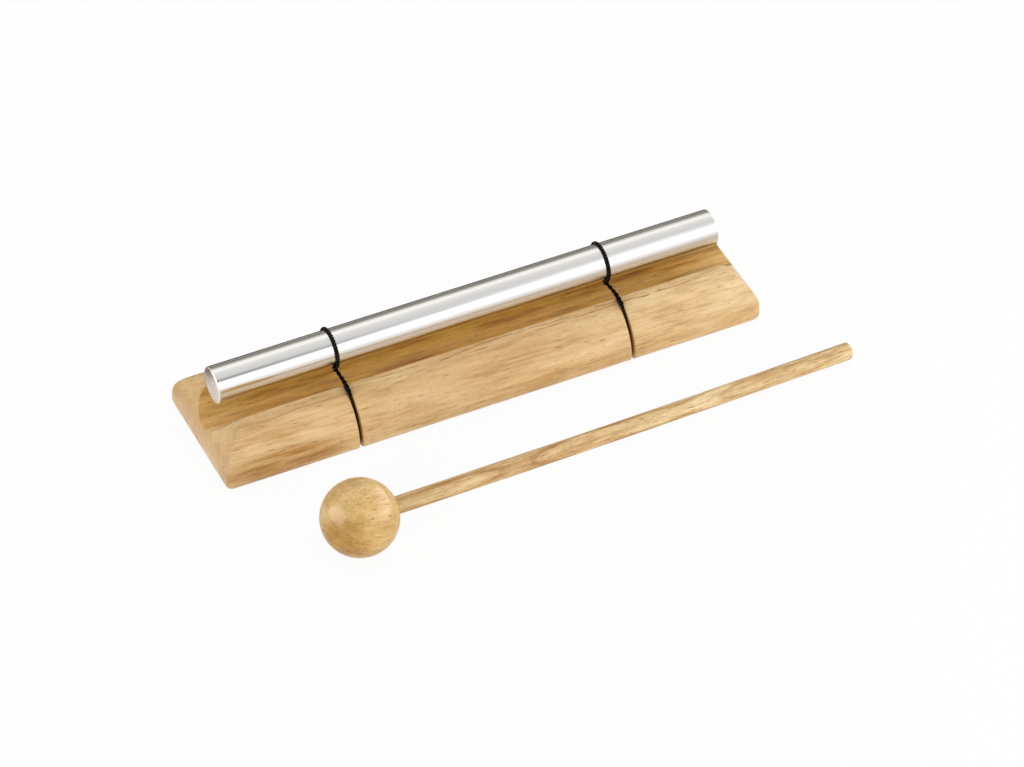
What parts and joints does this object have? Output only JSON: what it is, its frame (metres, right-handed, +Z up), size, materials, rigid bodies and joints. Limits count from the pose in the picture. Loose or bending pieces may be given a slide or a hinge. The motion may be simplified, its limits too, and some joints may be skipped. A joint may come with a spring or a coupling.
{
  "type": "chime bar",
  "caption": "Round metal chime rod hung on cord slings over a troughed wooden base, with a loose ball mallet on a thin stick.",
  "frame": {"origin": "centre of the base's flat underside", "axes": "+X along the chime rod to the right, +Y to the back, +Z up"},
  "size_m": [0.3199, 0.1509, 0.0513],
  "materials": {
    "base_wood": "thin clear satin lacquer on light hardwood with its grain along the base",
    "rod_metal": "turned and polished, faintly satin",
    "sling_cord": "black twisted cord",
    "head_wood": "turned and clear lacquered",
    "stick_wood": "dowel, thinly lacquered"
  },
  "bodies": {
    "base": {"base": "base_wood", "left_front_strand": "sling_cord", "left_rear_strand": "sling_cord", "left_front_wrap": "sling_cord", "left_rear_wrap": "sling_cord", "left_kerf_cord": "sling_cord", "right_front_strand": "sling_cord", "right_rear_strand": "sling_cord", "right_front_wrap": "sling_cord", "right_rear_wrap": "sling_cord", "right_kerf_cord": "sling_cord"},
    "slings": {"left_loop_over": "sling_cord", "left_loop_under": "sling_cord", "left_front_knot": "sling_cord", "left_rear_knot": "sling_cord", "right_loop_over": "sling_cord", "right_loop_under": "sling_cord", "right_front_knot": "sling_cord", "right_rear_knot": "sling_cord"},
    "chime_rod": {"chime_rod": "rod_metal"},
    "mallet": {"mallet_head": "head_wood", "mallet_stick": "stick_wood"}
  },
  "joints": [
    {"name": "rod_bounce", "type": "slide", "parent": "base", "child": "slings", "axis": [0, 0, 1], "range_m": [-0.003, 0.002], "stiffness_N_per_m": 2500, "springref_m": 0.00081, "deforming": ["left_front_strand", "left_rear_strand", "right_front_strand", "right_rear_strand"]},
    {"name": "rod_shift", "type": "slide", "parent": "slings", "child": "chime_rod", "axis": [1, 0, 0], "range_m": [-0.008, 0.01]},
    {"name": "mallet_lift", "type": "slide", "parent": "base", "child": "mallet", "axis": [0, 0, 1], "range_m": [0, 0.12]}
  ]
}
